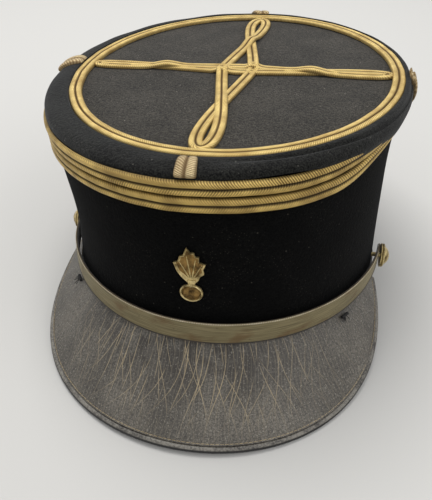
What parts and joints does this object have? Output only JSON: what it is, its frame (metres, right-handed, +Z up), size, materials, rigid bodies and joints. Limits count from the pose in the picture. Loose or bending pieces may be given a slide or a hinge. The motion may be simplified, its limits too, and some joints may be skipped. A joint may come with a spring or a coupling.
{
  "type": "military peaked cap",
  "caption": "Stiff cloth-covered officer's cap with a flared flat crown, soft roll, gold soutache braid, cracked leather peak, false chin strap and side buttons.",
  "frame": {"origin": "middle of the cap's bounding box, on the table that the peak's rim and the back of the lower edge touch", "axes": "+Z up from the table, -Y towards the front (peak), +X towards the wearer's left"},
  "size_m": [0.1952, 0.2736, 0.1221],
  "materials": {
    "black_wool": "matt felted wool",
    "gold_braid": "tarnished gold braid",
    "gold_lace": "tarnished flat gold lace",
    "peak_leather": "worn cracked leather",
    "peak_under": "smooth leather",
    "rim_leather": "worn bound edge",
    "black_leather": "smooth",
    "brown_leather": "smooth, worn",
    "strap_backing": "smooth",
    "stiffener_board": "pressed board",
    "lining_cloth": "cotton twill",
    "wadding": "cotton wadding",
    "cane": "split cane",
    "brass": "stamped, tarnished",
    "steel_pin": "wire",
    "black_thread": "waxed thread"
  },
  "bodies": {
    "cap": {"side_cloth": "black_wool", "roll_cloth": "black_wool", "crown_cloth": "black_wool", "side_stiffener": "stiffener_board", "crown_board": "stiffener_board", "peak_board": "stiffener_board", "side_lining": "lining_cloth", "crown_lining": "lining_cloth", "roll_wadding": "wadding", "crown_hoop": "cane", "sweatband": "brown_leather", "base_binding": "black_leather", "peak_upper_leather": "peak_leather", "peak_under_leather": "peak_under", "peak_rim_binding": "rim_leather", "crown_ring_braid": "gold_braid", "crown_knot_braid": "gold_braid", "side_braid_upper": "gold_braid", "side_braid_lower": "gold_braid", "tab_braid_front": "gold_braid", "tab_braid_back": "gold_braid", "tab_braid_left": "gold_braid", "tab_braid_right": "gold_braid", "badge_stamping": "brass", "badge_prongs": "brass", "badge_backing": "brown_leather", "thread_tack_left": "black_thread", "thread_tack_right": "black_thread", "button_left_washer": "brass", "button_right_washer": "brass"},
    "chin_strap": {"strap_leather": "strap_backing", "strap_lace": "gold_lace"},
    "button_left": {"button_left_face": "brass", "button_left_back": "brass", "button_left_pin": "steel_pin"},
    "button_right": {"button_right_face": "brass", "button_right_back": "brass", "button_right_pin": "steel_pin"}
  },
  "joints": [
    {"name": "chin_strap_swing", "type": "hinge", "parent": "cap", "child": "chin_strap", "pos_m": [0.0051, -0.01448, 0.02882], "axis": [-1, 0, 0], "range_deg": [0, 6]},
    {"name": "button_left_spin", "type": "hinge", "parent": "cap", "child": "button_left", "pos_m": [0.0051, -0.01448, 0.02882], "axis": [1, 0, 0], "continuous": true},
    {"name": "button_right_spin", "type": "hinge", "parent": "cap", "child": "button_right", "pos_m": [0.0051, -0.01448, 0.02882], "axis": [-1, 0, 0], "continuous": true}
  ]
}
